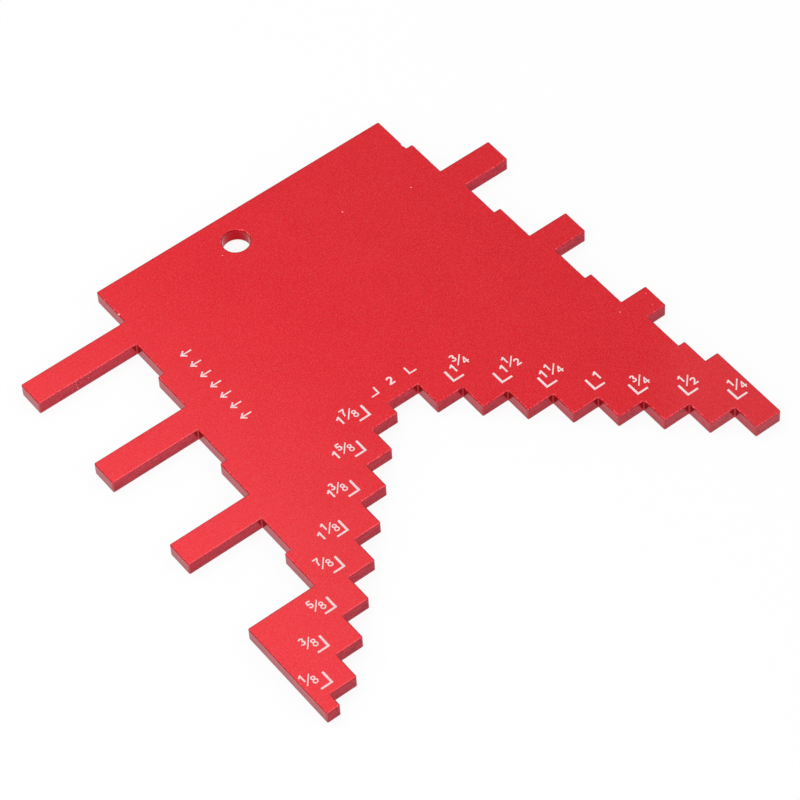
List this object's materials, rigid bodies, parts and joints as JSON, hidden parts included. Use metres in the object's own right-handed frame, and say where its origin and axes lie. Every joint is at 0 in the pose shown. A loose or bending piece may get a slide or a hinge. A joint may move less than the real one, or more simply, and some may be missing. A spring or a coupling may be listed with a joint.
{
  "type": "step gauge",
  "caption": "Flat step gauge plate with two staircases under an arch for heights above its feet, prongs on both sides for depths, and a hanging hole.",
  "frame": {"origin": "middle of the plate's outer box, on the back face that it lies on", "axes": "+X across the plate, towards the side with the short prongs; +Y from the two feet to the straight top edge with the hanging hole; +Z out of the marked face, up"},
  "size_m": [0.112, 0.1112, 0.0032],
  "materials": {
    "anodised_aluminium": "red anodised over a fine blasted surface, satin",
    "white_marks": "thin white marks on the anodised face, matt"
  },
  "bodies": {
    "root": {"gauge_plate": "anodised_aluminium"}
  },
  "joints": []
}
